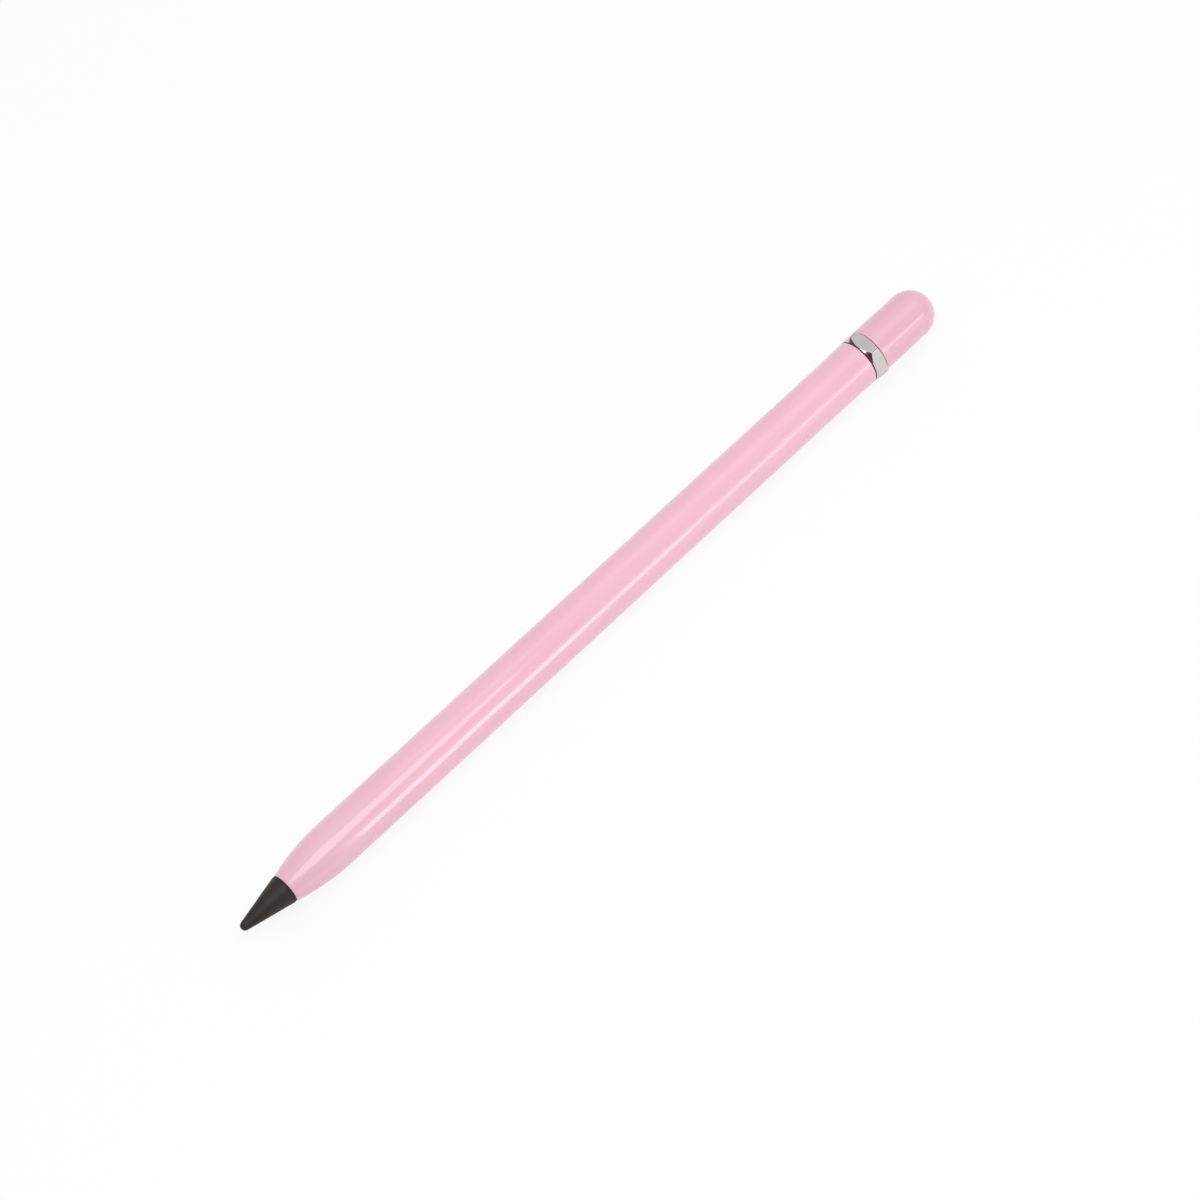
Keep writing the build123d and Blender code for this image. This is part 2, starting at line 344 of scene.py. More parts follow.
# The grain of a sprayed, cast or moulded surface: fine specks, and slow clouds over many specks. Every
# finish of the pencil uses it at its own scale.
grain_group, given, wanted = make_group("surface_grain", {"Specks per Metre": 4000.0}, ("Specks", "Clouds"))
place = add_node(grain_group, "ShaderNodeTexCoord")
specks = add_node(
    grain_group, "ShaderNodeTexNoise",
    {"Vector": place.outputs["Object"], "Scale": given["Specks per Metre"], "Detail": 2.0},
)
clouds_per_speck = 0.06
slow = add_node(
    grain_group, "ShaderNodeMath", {0: given["Specks per Metre"], 1: clouds_per_speck}, operation="MULTIPLY",
)
clouds = add_node(
    grain_group, "ShaderNodeTexNoise",
    {"Vector": place.outputs["Object"], "Scale": slow.outputs[0], "Detail": 3.0},
)
grain_group.links.new(specks.outputs["Fac"], wanted["Specks"])
grain_group.links.new(clouds.outputs["Fac"], wanted["Clouds"])

# Hairline marks from a pocket or a pencil case: thin broken lines that run along the pencil. They dull the
# lacquer and the chrome, and scuff the nib.
marks_group, given, wanted = make_group(
    "hairline_marks", {"Marks per Metre": 3000.0, "Amount": 0.5}, ("Marks",),
)
place = add_node(marks_group, "ShaderNodeTexCoord")
drawn_out = add_node(
    marks_group, "ShaderNodeMapping",
    {"Vector": place.outputs["Object"], "Rotation": (0, 0.02, 0.06), "Scale": (0.03, 1, 1)},
)
streaks = add_node(
    marks_group, "ShaderNodeTexNoise",
    {"Vector": drawn_out.outputs[0], "Scale": given["Marks per Metre"], "Detail": 1.0},
)
thin = add_node(
    marks_group, "ShaderNodeMapRange",
    {"Value": streaks.outputs["Fac"], "From Min": 0.66, "From Max": 0.78},
)
kept = add_node(marks_group, "ShaderNodeMath", {0: thin.outputs[0], 1: given["Amount"]}, operation="MULTIPLY")
marks_group.links.new(kept.outputs[0], wanted["Marks"])

# A change along the pencil: 0 before the place Start, 1 after the place End and smooth between them. The
# lacquer's shade and the eraser's smudge follow it.
change_group, given, wanted = make_group("change_along", {"Start": 0.0, "End": 1 * mm}, ("Share",))
place = add_node(change_group, "ShaderNodeTexCoord")
along = add_node(change_group, "ShaderNodeSeparateXYZ", {0: place.outputs["Object"]})
changed = add_node(
    change_group, "ShaderNodeMapRange",
    {"Value": along.outputs["X"], "From Min": given["Start"], "From Max": given["End"]},
    interpolation_type="SMOOTHSTEP",
)
change_group.links.new(changed.outputs[0], wanted["Share"])


def new_finish(name, metallic=0.0):
    """A material with a Principled shader; returns the material, its tree and the shader."""
    material = bpy.data.materials.new(name)
    material.use_nodes = True
    shader = material.node_tree.nodes["Principled BSDF"]
    shader.inputs["Metallic"].default_value = metallic
    return material, material.node_tree, shader


def use_group(tree, group, **values):
    """Places a shader group in a material with its own values, and returns its outputs."""
    made = add_node(tree, "ShaderNodeGroup", node_tree=group)
    for label, value in values.items():
        made.inputs[label.replace("_", " ")].default_value = value
    return made.outputs


def blend_colours(tree, factor, first, second):
    """The colour between first and second that factor picks."""
    made = add_node(
        tree, "ShaderNodeMix", {"Factor": factor, "A": (*first, 1), "B": (*second, 1)}, data_type="RGBA",
    )
    return made.outputs["Result"]


def spread(tree, value, low, high):
    """Stretches a noise value, which lies mostly from 0.3 to 0.7, over low to high."""
    made = add_node(
        tree, "ShaderNodeMapRange",
        {"Value": value, "From Min": 0.3, "From Max": 0.7, "To Min": low, "To Max": high},
    )
    return made.outputs[0]


def add_bump(tree, shader, heights, depth):
    """Raises the surface by depth metres where heights is 1."""
    bump = add_node(tree, "ShaderNodeBump", {"Height": heights, "Distance": depth, "Strength": 1.0})
    tree.links.new(bump.outputs["Normal"], shader.inputs["Normal"])


def pink_lacquer(name, front_shade, rear_shade, start_x, end_x):
    """Glossy lacquer under a clear coat: pink that changes shade from start_x to end_x, with hairlines."""
    material, tree, shader = new_finish(name)
    grain = use_group(tree, grain_group, Specks_per_Metre=1100.0)
    marks = use_group(tree, marks_group, Marks_per_Metre=2600.0, Amount=0.25)
    change = use_group(tree, change_group, Start=start_x, End=end_x)
    pink = blend_colours(tree, change["Share"], front_shade, rear_shade)
    coverage = spread(tree, grain["Clouds"], low=0.985, high=1.015)
    clouded = add_node(tree, "ShaderNodeVectorMath", {0: pink, "Scale": coverage}, operation="SCALE")
    tree.links.new(clouded.outputs["Vector"], shader.inputs["Base Color"])
    even = spread(tree, grain["Clouds"], low=0.30, high=0.36)
    dulled = add_node(tree, "ShaderNodeMath", {0: even, 1: marks["Marks"]}, operation="ADD")
    tree.links.new(dulled.outputs[0], shader.inputs["Roughness"])
    shader.inputs["Specular IOR Level"].default_value = 0.15
    shader.inputs["Coat Weight"].default_value = 1.0
    shader.inputs["Coat Roughness"].default_value = 0.04
    add_bump(tree, shader, grain["Specks"], depth=0.0002 * mm)
    return material


shade_length = 35 * mm
barrel_lacquer = pink_lacquer(
    "barrel_lacquer", front_shade=(0.868, 0.503, 0.605), rear_shade=(0.908, 0.513, 0.614),
    start_x=nose_end_x, end_x=nose_end_x + shade_length,
)

bare_aluminium, nodes, shader = new_finish("bare_aluminium", metallic=1.0)
grain = use_group(nodes, grain_group, Specks_per_Metre=9000.0)
dull = blend_colours(nodes, grain["Clouds"], (0.62, 0.62, 0.63), (0.74, 0.74, 0.75))
nodes.links.new(dull, shader.inputs["Base Color"])
nodes.links.new(spread(nodes, grain["Specks"], low=0.30, high=0.46), shader.inputs["Roughness"])
add_bump(nodes, shader, grain["Specks"], depth=0.002 * mm)


def bare_inside(mesh):
    """Gives the faces that look towards the axis the second material."""
    least_tilt = 0.2
    for face in mesh.polygons:
        outwards = Vector((0, face.center.y, face.center.z - axis_z))
        if face.normal.dot(outwards) < -least_tilt * outwards.length:
            face.material_index = 1


barrel = add_object("barrel_tube", barrel_mesh, barrel_lacquer, bare_aluminium)
bare_inside(barrel_mesh)
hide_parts("barrel")
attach(barrel, "barrel")


# Nose bush: a brass insert with a 3 mm inside thread, pressed into the nose until it is flush.
# Its bore has a small lead-in at the front, so that the nib's stud finds the thread.
def screw_thread_tree():
    """A thread as a tube wall whose radius follows the turn and the distance along the axis."""
    tree = bpy.data.node_groups.new("screw_thread", "GeometryNodeTree")
    tree.interface.new_socket("Geometry", in_out="OUTPUT", socket_type="NodeSocketGeometry")
    for label in ("Start", "Length", "Base Radius", "Height", "Pitch", "Phase", "Run-out", "Axis Height"):
        tree.interface.new_socket(label, in_out="INPUT", socket_type="NodeSocketFloat")
    for label in ("Around", "Along"):
        tree.interface.new_socket(label, in_out="INPUT", socket_type="NodeSocketInt")
    tree.interface.new_socket("Material", in_out="INPUT", socket_type="NodeSocketMaterial")
    given = tree.nodes.new("NodeGroupInput").outputs

    def math(operation, *values):
        return add_node(tree, "ShaderNodeMath", dict(enumerate(values)), operation=operation).outputs[0]

    sheet = add_node(
        tree, "GeometryNodeMeshGrid",
        {"Size X": 1.0, "Size Y": 1.0, "Vertices X": math("ADD", given["Along"], 1),
         "Vertices Y": math("ADD", given["Around"], 1)},
    )
    position = tree.nodes.new("GeometryNodeInputPosition")
    spot = add_node(tree, "ShaderNodeSeparateXYZ", {0: position.outputs[0]})
    turns = math("ADD", spot.outputs["Y"], 0.5)
    distance = math("MULTIPLY", math("ADD", spot.outputs["X"], 0.5), given["Length"])
    x = math("ADD", given["Start"], distance)
    lead = math("ADD", math("SUBTRACT", math("DIVIDE", x, given["Pitch"]), turns), given["Phase"])
    flank_slope, flank_offset = 3.0, -0.25
    flank = math("MULTIPLY_ADD", math("PINGPONG", lead, 0.5), flank_slope, flank_offset)
    crest = math("MAXIMUM", math("MINIMUM", flank, 1.0), 0.0)
    from_end = math("MINIMUM", distance, math("SUBTRACT", given["Length"], distance))
    fade = math("MAXIMUM", math("MINIMUM", math("DIVIDE", from_end, given["Run-out"]), 1.0), 0.0)
    rise = math("MULTIPLY", math("MULTIPLY", crest, fade), given["Height"])
    radius = math("ADD", given["Base Radius"], rise)
    angle = math("MULTIPLY", turns, 2 * pi)
    place = add_node(
        tree, "ShaderNodeCombineXYZ",
        {"X": x, "Y": math("MULTIPLY", radius, math("COSINE", angle)),
         "Z": math("MULTIPLY_ADD", radius, math("SINE", angle), given["Axis Height"])},
    )
    rolled = add_node(
        tree, "GeometryNodeSetPosition", {"Geometry": sheet.outputs["Mesh"], "Position": place.outputs[0]},
    )
    closed = add_node(
        tree, "GeometryNodeMergeByDistance", {"Geometry": rolled.outputs[0], "Distance": touching},
    )
    real = add_node(tree, "GeometryNodeRealizeInstances", {"Geometry": closed.outputs[0]})
    dressed = add_node(
        tree, "GeometryNodeSetMaterial", {"Geometry": real.outputs[0], "Material": given["Material"]},
    )
    add_node(tree, "NodeGroupOutput", {"Geometry": dressed.outputs[0]})
    return tree


def grow(tree, **values):
    """The plain mesh that a geometry tree gives for these named inputs."""
    seed = bpy.data.objects.new("seed", bpy.data.meshes.new("seed"))
    bpy.context.scene.collection.objects.link(seed)
    modifier = seed.modifiers.new("grow", "NODES")
    modifier.node_group = tree
    for socket in tree.interface.items_tree:
        label = socket.name.replace(" ", "_").replace("-", "_")
        if socket.in_out == "INPUT":
            modifier[socket.identifier] = values[label]
    evaluated = seed.evaluated_get(bpy.context.evaluated_depsgraph_get())
    mesh = bpy.data.meshes.new_from_object(evaluated)
    bpy.data.objects.remove(seed)
    return mesh


# Lines that a lathe tool leaves: fine rings round the axis, uneven along it. The brass pieces and the
# ground nib show them.
lines_group, given, wanted = make_group("turning_lines", {"Lines per Metre": 9000.0}, ("Lines",))
place = add_node(lines_group, "ShaderNodeTexCoord")
squeezed = add_node(
    lines_group, "ShaderNodeMapping", {"Vector": place.outputs["Object"], "Scale": (1, 0.015, 0.015)},
)
lines = add_node(
    lines_group, "ShaderNodeTexNoise",
    {"Vector": squeezed.outputs[0], "Scale": given["Lines per Metre"], "Detail": 2.0},
)
lines_group.links.new(lines.outputs["Fac"], wanted["Lines"])

brass, nodes, shader = new_finish("turned_brass", metallic=1.0)
lines = use_group(nodes, lines_group, Lines_per_Metre=12000.0)
grain = use_group(nodes, grain_group, Specks_per_Metre=3000.0)
cloudy = spread(nodes, grain["Clouds"], low=0, high=1)
golden = blend_colours(nodes, cloudy, (0.60, 0.42, 0.17), (0.76, 0.57, 0.28))
nodes.links.new(golden, shader.inputs["Base Color"])
nodes.links.new(spread(nodes, lines["Lines"], low=0.18, high=0.36), shader.inputs["Roughness"])
add_bump(nodes, shader, lines["Lines"], depth=0.002 * mm)

thread_tree = screw_thread_tree()
thread_pitch = 0.5 * mm
thread_depth = 0.30 * mm
stud_radius = 1.5 * mm
thread_play = 0.05 * mm
bush_front_x, bush_rear_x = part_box("nose_bush")[0].x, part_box("nose_bush")[1].x
bush_radius = 2.1 * mm
bush_bore_radius = stud_radius + thread_play
lead_in = 0.2 * mm
bush_run_out = 0.25 * mm
half_pitch = 0.5
bush_thread = grow(
    thread_tree, Start=bush_front_x + lead_in, Length=bush_rear_x - bush_front_x - lead_in,
    Base_Radius=bush_bore_radius, Height=-thread_depth, Pitch=thread_pitch, Phase=half_pitch,
    Run_out=bush_run_out, Axis_Height=axis_z, Around=around, Along=170, Material=brass,
)
bush_profile = [
    (bush_front_x + lead_in, bush_bore_radius),
    (bush_front_x, bush_bore_radius + lead_in),
    (bush_front_x, bush_radius),
    (bush_rear_x - lead_in, bush_radius),
    (bush_rear_x, bush_radius - lead_in),
    (bush_rear_x, bush_bore_radius),
]
bush_mesh = smooth_mesh("nose_bush", turn(bush_profile, wall=bush_thread))
bush = add_object("threaded_bush", bush_mesh, brass)
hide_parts("nose_bush")
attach(bush, "barrel")


# Nib seal: a thin ring of black rubber on the stud, between the nib and the nose. It shows as the dark line
# beside the pink, and its black is also painted shade for that narrow gap. It comes off with the nib, which
# turns before it across a gap thinner than a hair.
seal_front_x, seal_rear_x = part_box("nib_seal")[0].x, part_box("nib_seal")[1].x
seal_radius = 2.525 * mm
seal_round = 0.06 * mm
seal_bore_radius = 1.6 * mm
turning_gap = 0.01 * mm
seal_profile = round_corners([
    (seal_front_x + turning_gap, seal_bore_radius, 0),
    (seal_front_x + turning_gap, seal_radius, seal_round),
    (seal_rear_x, seal_radius, seal_round),
    (seal_rear_x, seal_bore_radius, 0),
])
# Black rubber whose black also paints the shade of the narrow gap between nib and nose.
rubber_and_gap_shade, nodes, shader = new_finish("black_rubber")
grain = use_group(nodes, grain_group, Specks_per_Metre=14000.0)
black = blend_colours(nodes, grain["Clouds"], (0.012, 0.010, 0.010), (0.030, 0.026, 0.026))
nodes.links.new(black, shader.inputs["Base Color"])
nodes.links.new(spread(nodes, grain["Specks"], low=0.62, high=0.82), shader.inputs["Roughness"])
add_bump(nodes, shader, grain["Specks"], depth=0.004 * mm)
seal = add_object("seal_ring", smooth_mesh("nib_seal", turn(seal_profile, closed=True)), rubber_and_gap_shade)
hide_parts("nib_seal")
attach(seal, "seal")


# Nib stud: a turned brass stud, glued into the cone by its plain shank, with a collar through the seal,
# a relief groove behind it and a right-hand thread that runs out at both ends.
shank_x, stud_end_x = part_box("nib_stud")[0].x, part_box("nib_stud")[1].x
shank_radius = 1.0 * mm
root_radius = stud_radius - thread_depth
relief_length = 0.5 * mm
stud_run_out = 0.35 * mm
stud_thread = grow(
    thread_tree, Start=seal_rear_x + relief_length, Length=stud_end_x - seal_rear_x - relief_length,
    Base_Radius=root_radius, Height=thread_depth, Pitch=thread_pitch, Phase=0.0,
    Run_out=stud_run_out, Axis_Height=axis_z, Around=around, Along=96, Material=brass,
)
stud_front = [
    (shank_x, 0.0),
    (shank_x, shank_radius),
    (seal_front_x, shank_radius),
    (seal_front_x, stud_radius),
    (seal_rear_x, stud_radius),
    (seal_rear_x + thread_depth / 2, root_radius),
    (seal_rear_x + relief_length, root_radius),
]
stud_end = [(stud_end_x, root_radius), (stud_end_x, 0.0)]
stud_mesh = smooth_mesh("nib_stud", turn(stud_front, stud_end, wall=stud_thread))
stud = add_object("threaded_stud", stud_mesh, brass)
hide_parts("nib_stud")
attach(stud, "nib")


# Nib: a cone of graphite alloy with a rounded point, ground matt, that leaves a pencil line by wear.
# Its base edge is broken by a small bevel, and a blind hole in the base takes the stud's shank.
tip_x, nib_base_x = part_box("nib_cone")[0].x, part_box("nib_cone")[1].x
nib_base_radius = 2.585 * mm
point_radius = 0.8 * mm
nib_hole_radius = 1.02 * mm
nib_hole_depth = 4.52 * mm
point_centre_x = tip_x + point_radius
centre_to_base = nib_base_x - point_centre_x
tangent_turn = atan2(nib_base_radius, centre_to_base)
tangent_turn += acos(point_radius / hypot(centre_to_base, nib_base_radius))
point_steps = 14
point_arc = []
for step in range(point_steps + 1):
    swing = pi - (pi - tangent_turn) * step / point_steps
    point_arc.append((point_centre_x + point_radius * cos(swing), point_radius * sin(swing)))
base_bevel = 0.06 * mm
bevel_round = 0.02 * mm
cone_slope = (nib_base_radius - point_arc[-1][1]) / (nib_base_x - point_arc[-1][0])
nib_profile = point_arc[:-1] + round_corners([
    (*point_arc[-1], 0),
    (nib_base_x - base_bevel, nib_base_radius - base_bevel * cone_slope, bevel_round),
    (nib_base_x, nib_base_radius - base_bevel, bevel_round),
    (nib_base_x, nib_hole_radius, 0),
    (nib_base_x - nib_hole_depth, nib_hole_radius, 0),
    (nib_base_x - nib_hole_depth, 0.0, 0),
])
alloy, nodes, shader = new_finish("graphite_alloy", metallic=0.35)
grain = use_group(nodes, grain_group, Specks_per_Metre=7000.0)
lines = use_group(nodes, lines_group, Lines_per_Metre=6000.0)
marks = use_group(nodes, marks_group, Marks_per_Metre=4000.0, Amount=0.5)
cloudy = spread(nodes, grain["Clouds"], low=0, high=1)
warm_black = blend_colours(nodes, cloudy, (0.0225, 0.0160, 0.0130), (0.0335, 0.0255, 0.0210))
scuff_grey = (0.055, 0.050, 0.047, 1)
scuffed = add_node(
    nodes, "ShaderNodeMix", {"Factor": marks["Marks"], "A": warm_black, "B": scuff_grey}, data_type="RGBA",
)
nodes.links.new(scuffed.outputs["Result"], shader.inputs["Base Color"])
nodes.links.new(spread(nodes, grain["Specks"], low=0.46, high=0.60), shader.inputs["Roughness"])
ground = add_node(nodes, "ShaderNodeMath", {0: lines["Lines"], 1: grain["Specks"]}, operation="ADD")
add_bump(nodes, shader, ground.outputs[0], depth=0.0025 * mm)
nib = add_object("writing_cone", smooth_mesh("nib_cone", turn(nib_profile)), alloy)
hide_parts("nib_cone")
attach(nib, "nib")


# Hex ring: a slice of brass hexagon bar, turned down at both ends so that each flat has curved ends, with a
# short neck at each end, bored for the sleeve and chrome plated. The front neck and the narrow bevels of the
# corners get a dark mauve plate. It is painted shade for the groove and the corner lines, and its tint is a
# painted reflection of the pink. The ring stops the pencil rolling.
ring_rear_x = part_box("hex_ring")[1].x
ring_sides = 6
steps_per_side = 24
flat_radius = tail_radius
corner_radius = flat_radius / cos(pi / ring_sides)
front_neck_length, rear_neck_length = 0.2 * mm, 0.12 * mm
front_neck_depth, rear_neck_depth = 0.55 * mm, 0.3 * mm
front_face_drop, rear_face_drop = 0.05 * mm, 0.08 * mm
front_chamfer, rear_chamfer = 0.75 * mm, 0.38 * mm
front_neck_x, rear_neck_x = rim_x + front_neck_length, ring_rear_x - rear_neck_length
front_neck_radius, rear_neck_radius = flat_radius - front_neck_depth, flat_radius - rear_neck_depth
front_radius, rear_radius = flat_radius - front_face_drop, flat_radius - rear_face_drop
corner_bevel = 0.125 * mm
edge_bevel = 0.02 * mm
crisp_angle = radians(18)
ring_shape = bmesh.new()
ring_rows = []
for step in range(ring_sides * steps_per_side):
    swing = 2 * pi * step / (ring_sides * steps_per_side)
    off_flat = (swing % (2 * pi / ring_sides)) - pi / ring_sides
    reach = flat_radius / cos(off_flat)
    front_edge_x = front_neck_x + front_chamfer * (reach - front_radius) / (corner_radius - front_radius)
    rear_edge_x = rear_neck_x - rear_chamfer * (reach - rear_radius) / (corner_radius - rear_radius)
    outline = [
        (rim_x, bore_radius), (rim_x, front_neck_radius), (front_neck_x, front_neck_radius),
        (front_neck_x, front_radius), (front_edge_x, reach), (rear_edge_x, reach),
        (rear_neck_x, rear_radius), (rear_neck_x, rear_neck_radius), (ring_rear_x, rear_neck_radius),
        (ring_rear_x, bore_radius),
    ]
    row = [ring_shape.verts.new((x, r * cos(swing), axis_z + r * sin(swing))) for x, r in outline]
    ring_rows.append(row)
# The front neck's faces take the second material, the plate painted as shade.
front_neck_lanes = (0, 1, 2)
flat_lane = 4
for row, following in zip(ring_rows, ring_rows[1:] + ring_rows[:1]):
    for lane in range(len(row)):
        beside = (lane + 1) % len(row)
        face = ring_shape.faces.new((row[lane], row[beside], following[beside], following[lane]))
        face.material_index = int(lane in front_neck_lanes)
bmesh.ops.recalc_face_normals(ring_shape, faces=ring_shape.faces)
corners = [ring_shape.edges.get(row[flat_lane:flat_lane + 2]) for row in ring_rows[::steps_per_side]]
# The corner bevels take the plate painted as shade, which draws a dark line along each corner.
bmesh.ops.bevel(ring_shape, geom=corners, offset=corner_bevel, segments=1, affect="EDGES", material=1)
crisp = [edge for edge in ring_shape.edges if edge.calc_face_angle(0) > crisp_angle]
bmesh.ops.bevel(ring_shape, geom=crisp, offset=edge_bevel, segments=1, affect="EDGES")
ring_mesh = smooth_mesh("hex_ring", ring_shape, sharp_angle=radians(16))

chrome, nodes, shader = new_finish("chrome_plate", metallic=1.0)
grain = use_group(nodes, grain_group, Specks_per_Metre=5000.0)
marks = use_group(nodes, marks_group, Marks_per_Metre=5000.0, Amount=0.12)
plate = blend_colours(nodes, grain["Clouds"], (0.65, 0.615, 0.595), (0.69, 0.652, 0.632))
nodes.links.new(plate, shader.inputs["Base Color"])
polish = spread(nodes, grain["Clouds"], low=0.08, high=0.13)
hazed = add_node(nodes, "ShaderNodeMath", {0: polish, 1: marks["Marks"]}, operation="ADD")
nodes.links.new(hazed.outputs[0], shader.inputs["Roughness"])
add_bump(nodes, shader, grain["Specks"], depth=0.0004 * mm)

# Painted shade: a dark mauve plate for the front neck and the corner bevels, standing in for their shadow,
# its tint a painted reflection of the pink lacquer.
dull_plate, nodes, shader = new_finish("dull_plate", metallic=0.8)
grain = use_group(nodes, grain_group, Specks_per_Metre=9000.0)
cloudy = spread(nodes, grain["Clouds"], low=0, high=1)
nodes.links.new(
    blend_colours(nodes, cloudy, (0.18, 0.138, 0.142), (0.27, 0.215, 0.22)), shader.inputs["Base Color"],
)
nodes.links.new(spread(nodes, grain["Specks"], low=0.42, high=0.56), shader.inputs["Roughness"])
add_bump(nodes, shader, grain["Specks"], depth=0.003 * mm)
ring = add_object("six_sided_ring", ring_mesh, chrome, dull_plate)
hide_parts("hex_ring")
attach(ring, "barrel")


# Tail sleeve: an ivory plastic moulding, pressed through the ring into the barrel. Its shoulder clamps
# the ring, its spigot carries the cap, and the socket in its rear end holds the eraser.
sleeve_front_x, sleeve_rear_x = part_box("tail_sleeve")[0].x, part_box("tail_sleeve")[1].x
sleeve_radius = 2.78 * mm
spigot_radius = 3.03 * mm
sleeve_wall = 0.75 * mm
socket_radius = 2.28 * mm
socket_floor_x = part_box("eraser")[0].x
web_thickness = 1.5 * mm
floor_round = 0.15 * mm
mouth_round = 0.1 * mm
entry_round = 0.3 * mm
shoulder_round = 0.06 * mm
sleeve_profile = round_corners([
    (socket_floor_x - web_thickness, 0.0, 0),
    (socket_floor_x - web_thickness, sleeve_radius - sleeve_wall, floor_round),
    (sleeve_front_x, sleeve_radius - sleeve_wall, mouth_round),
    (sleeve_front_x, sleeve_radius, entry_round),
    (ring_rear_x, sleeve_radius, 0),
    (ring_rear_x, spigot_radius, shoulder_round),
    (sleeve_rear_x, spigot_radius, entry_round),
    (sleeve_rear_x, socket_radius, mouth_round),
    (socket_floor_x, socket_radius, floor_round),
    (socket_floor_x, 0.0, 0),
])
ivory, nodes, shader = new_finish("ivory_plastic")
grain = use_group(nodes, grain_group, Specks_per_Metre=16000.0)
cloudy = spread(nodes, grain["Clouds"], low=0, high=1)
moulded = blend_colours(nodes, cloudy, (0.80, 0.775, 0.715), (0.86, 0.84, 0.785))
nodes.links.new(moulded, shader.inputs["Base Color"])
nodes.links.new(spread(nodes, grain["Specks"], low=0.36, high=0.50), shader.inputs["Roughness"])
shader.inputs["Subsurface Weight"].default_value = 0.15
shader.inputs["Subsurface Scale"].default_value = 0.4 * mm
add_bump(nodes, shader, grain["Specks"], depth=0.003 * mm)
sleeve = add_object("stepped_sleeve", smooth_mesh("tail_sleeve", turn(sleeve_profile)), ivory)
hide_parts("tail_sleeve")
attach(sleeve, "barrel")


# Eraser: a plug of white vinyl, cut from rod and pushed to the floor of the sleeve's socket.
# Its free end is rounded and a little smudged with graphite.
eraser_end_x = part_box("eraser")[1].x
eraser_radius = 2.26 * mm
cut_round = 0.1 * mm
worn_round = 0.6 * mm
eraser_profile = round_corners([
    (socket_floor_x, 0.0, 0),
    (socket_floor_x, eraser_radius, cut_round),
    (eraser_end_x, eraser_radius, worn_round),
    (eraser_end_x, 0.0, 0),
], steps=8)
vinyl, nodes, shader = new_finish("eraser_vinyl")
grain = use_group(nodes, grain_group, Specks_per_Metre=9000.0)
cloudy = spread(nodes, grain["Clouds"], low=0, high=1)
white = blend_colours(nodes, cloudy, (0.83, 0.82, 0.79), (0.89, 0.88, 0.855))
rubbed_length = 0.7 * mm
near_end = use_group(nodes, change_group, Start=eraser_end_x - rubbed_length, End=eraser_end_x)
patchy = spread(nodes, grain["Clouds"], low=0, high=0.6)
smudge = add_node(nodes, "ShaderNodeMath", {0: near_end["Share"], 1: patchy}, operation="MULTIPLY")
graphite_grey = (0.42, 0.42, 0.43, 1)
used = add_node(
    nodes, "ShaderNodeMix", {"Factor": smudge.outputs[0], "A": white, "B": graphite_grey}, data_type="RGBA",
)
nodes.links.new(used.outputs["Result"], shader.inputs["Base Color"])
nodes.links.new(spread(nodes, grain["Specks"], low=0.70, high=0.86), shader.inputs["Roughness"])
add_bump(nodes, shader, grain["Specks"], depth=0.008 * mm)
eraser = add_object("eraser_plug", smooth_mesh("eraser", turn(eraser_profile)), vinyl)
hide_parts("eraser")
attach(eraser, "barrel")


# Cap: a drawn aluminium cup with a half-round dome, bare inside. Its outside has the barrel's lacquer, a
# shade deeper. Its rim is rounded over and meets the ring.
cap_front_x, cap_end_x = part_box("cap")[0].x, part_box("cap")[1].x
cap_wall = 0.5 * mm
dome_x = cap_end_x - tail_radius
dome_steps = 28
outer_dome = [(tail_radius, pi / 2 * step / dome_steps) for step in range(dome_steps + 1)]
inner_dome = [(tail_radius - cap_wall, turned_by) for _, turned_by in outer_dome[::-1]]
cap_rim_round = 0.12 * mm
cap_mouth_round = 0.05 * mm
cap_rim = round_corners([
    (cap_front_x + cap_wall, tail_radius - cap_wall, 0),
    (cap_front_x, tail_radius - cap_wall, cap_mouth_round),
    (cap_front_x, tail_radius, cap_rim_round),
    (cap_front_x + cap_wall, tail_radius, 0),
])
cap_profile = [(dome_x + r * sin(a), r * cos(a)) for r, a in inner_dome]
cap_profile += cap_rim
cap_profile += [(dome_x + r * sin(a), r * cos(a)) for r, a in outer_dome]
cap_mesh = smooth_mesh("cap", turn(cap_profile))
cap_lacquer = pink_lacquer(
    "cap_lacquer", front_shade=(0.860, 0.481, 0.602), rear_shade=(0.856, 0.484, 0.604),
    start_x=cap_front_x, end_x=cap_end_x,
)
cap = add_object("domed_cap", cap_mesh, cap_lacquer, bare_aluminium)
bare_inside(cap_mesh)
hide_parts("cap")
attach(cap, "cap")


# Cap liner: a thin ivory plastic tube, moulded with its ribs and glued inside the cap. The six ribs stand on
# its bore, parallel to the axis, and grip the sleeve's spigot, so that the cap slides on and stays on.
liner_front_x, liner_rear_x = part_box("cap_liner")[0].x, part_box("cap_liner")[1].x
liner_radius = 3.58 * mm
liner_bore_radius = 3.28 * mm
liner_round = 0.06 * mm
liner_profile = round_corners([
    (liner_front_x, liner_bore_radius, liner_round),
    (liner_front_x, liner_radius, liner_round),
    (liner_rear_x, liner_radius, liner_round),
    (liner_rear_x, liner_bore_radius, liner_round),
])
liner = add_object("liner_tube", smooth_mesh("cap_liner", turn(liner_profile, closed=True)), ivory)
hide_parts("cap_liner")
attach(liner, "cap")


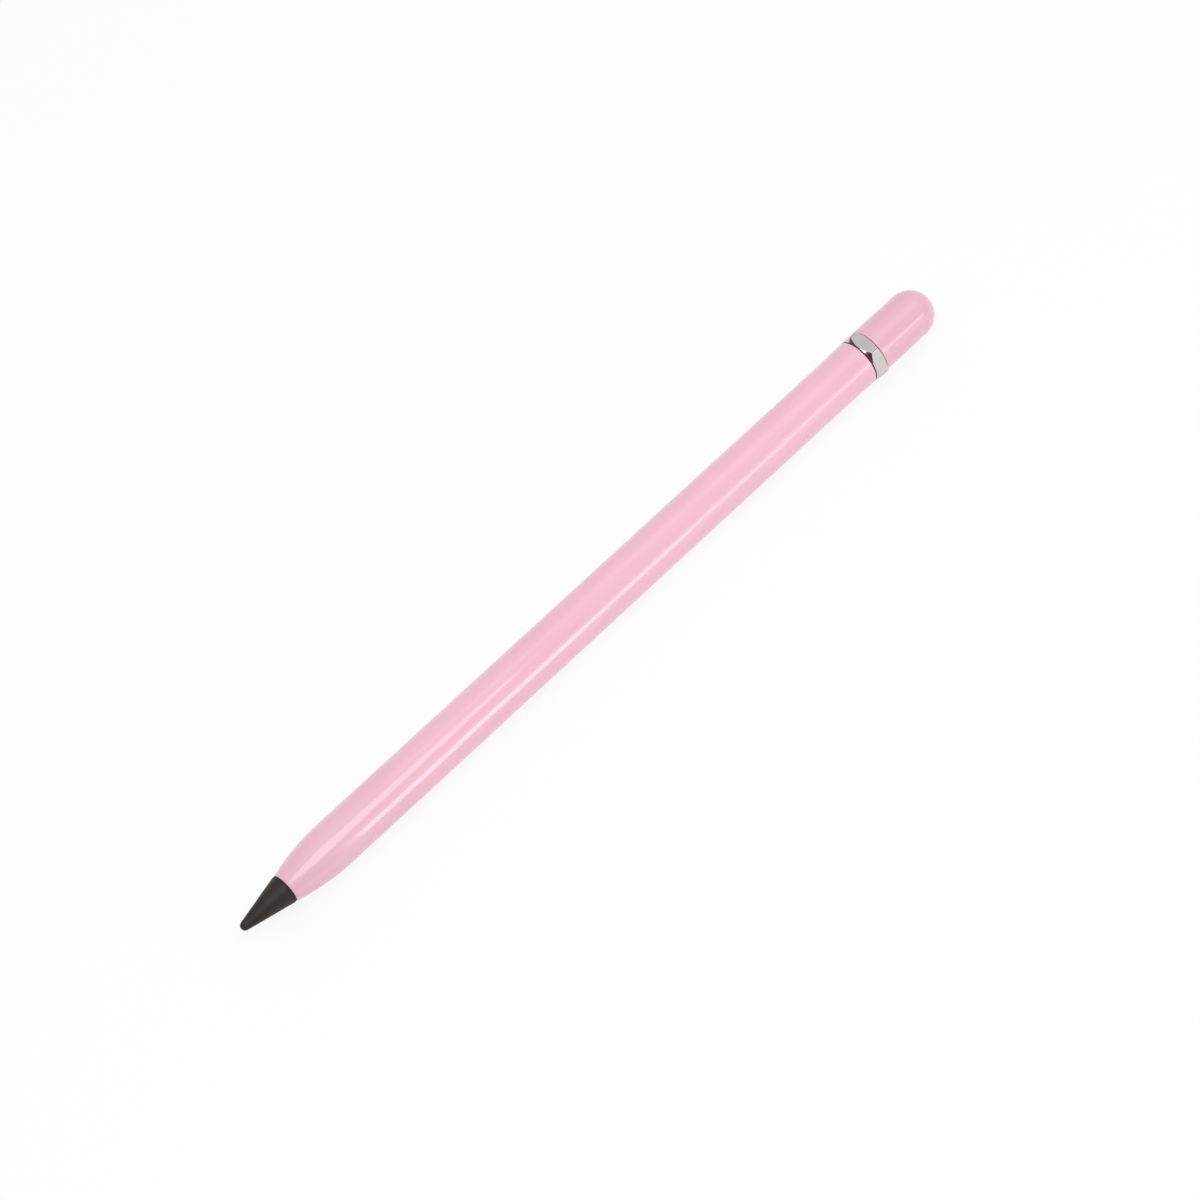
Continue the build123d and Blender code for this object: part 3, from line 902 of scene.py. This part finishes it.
def grip_rib_tree():
    """Bars with rounded edges, set evenly round the axis and parallel to it."""
    tree = bpy.data.node_groups.new("grip_ribs", "GeometryNodeTree")
    tree.interface.new_socket("Geometry", in_out="OUTPUT", socket_type="NodeSocketGeometry")
    tree.interface.new_socket("Count", in_out="INPUT", socket_type="NodeSocketInt")
    for label in ("Start", "Length", "Width", "Depth", "Edge Round", "Middle Radius", "Axis Height"):
        tree.interface.new_socket(label, in_out="INPUT", socket_type="NodeSocketFloat")
    tree.interface.new_socket("Material", in_out="INPUT", socket_type="NodeSocketMaterial")
    given = tree.nodes.new("NodeGroupInput").outputs
    section = add_node(
        tree, "GeometryNodeCurvePrimitiveQuadrilateral", {"Width": given["Depth"], "Height": given["Width"]},
    )
    eased = add_node(
        tree, "GeometryNodeFilletCurve",
        {"Curve": section.outputs[0], "Count": 4, "Radius": given["Edge Round"]}, mode="POLY",
    )
    end_face = add_node(tree, "GeometryNodeFillCurve", {"Curve": eased.outputs[0]}, mode="NGONS")
    reach = add_node(tree, "ShaderNodeCombineXYZ", {"Z": given["Length"]})
    bar = add_node(
        tree, "GeometryNodeExtrudeMesh",
        {"Mesh": end_face.outputs[0], "Offset": reach.outputs[0], "Offset Scale": 1.0, "Individual": False},
    )
    other_face = add_node(tree, "GeometryNodeFlipFaces", {"Mesh": end_face.outputs[0]})
    both = add_node(tree, "GeometryNodeJoinGeometry")
    tree.links.new(bar.outputs["Mesh"], both.inputs[0])
    tree.links.new(other_face.outputs[0], both.inputs[0])
    whole_bar = add_node(
        tree, "GeometryNodeMergeByDistance", {"Geometry": both.outputs[0], "Distance": touching},
    )
    ring_of_points = add_node(
        tree, "GeometryNodeMeshCircle", {"Vertices": given["Count"], "Radius": given["Middle Radius"]},
    )
    step = add_node(tree, "ShaderNodeMath", {0: 2 * pi, 1: given["Count"]}, operation="DIVIDE")
    number = tree.nodes.new("GeometryNodeInputIndex").outputs[0]
    turned_by = add_node(tree, "ShaderNodeMath", {0: number, 1: step.outputs[0]}, operation="MULTIPLY")
    facing = add_node(tree, "ShaderNodeCombineXYZ", {"Z": turned_by.outputs[0]})
    rotation = add_node(tree, "FunctionNodeEulerToRotation", {0: facing.outputs[0]})
    set_out = add_node(
        tree, "GeometryNodeInstanceOnPoints",
        {"Points": ring_of_points.outputs[0], "Instance": whole_bar.outputs[0],
         "Rotation": rotation.outputs[0]},
    )
    corner = add_node(tree, "ShaderNodeCombineXYZ", {"X": given["Start"], "Z": given["Axis Height"]})
    laid = add_node(
        tree, "GeometryNodeTransform",
        {"Geometry": set_out.outputs[0], "Translation": corner.outputs[0], "Rotation": (pi / 2, 0, pi / 2)},
    )
    real = add_node(tree, "GeometryNodeRealizeInstances", {"Geometry": laid.outputs[0]})
    dressed = add_node(
        tree, "GeometryNodeSetMaterial", {"Geometry": real.outputs[0], "Material": given["Material"]},
    )
    add_node(tree, "NodeGroupOutput", {"Geometry": dressed.outputs[0]})
    return tree


rib_count = 6
rib_width = 0.9 * mm
rib_height = 0.2 * mm
rib_root = 0.15 * mm
rib_depth = rib_height + rib_root
rib_round = 0.08 * mm
rib_setback = 0.05 * mm
rib_mesh = grow(
    grip_rib_tree(), Count=rib_count, Start=liner_front_x + rib_setback,
    Length=liner_rear_x - liner_front_x - 2 * rib_setback, Width=rib_width, Depth=rib_depth,
    Edge_Round=rib_round, Middle_Radius=liner_bore_radius - rib_height + rib_depth / 2,
    Axis_Height=axis_z, Material=ivory,
)
ribs = add_object("liner_ribs", rib_mesh)
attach(ribs, "cap")
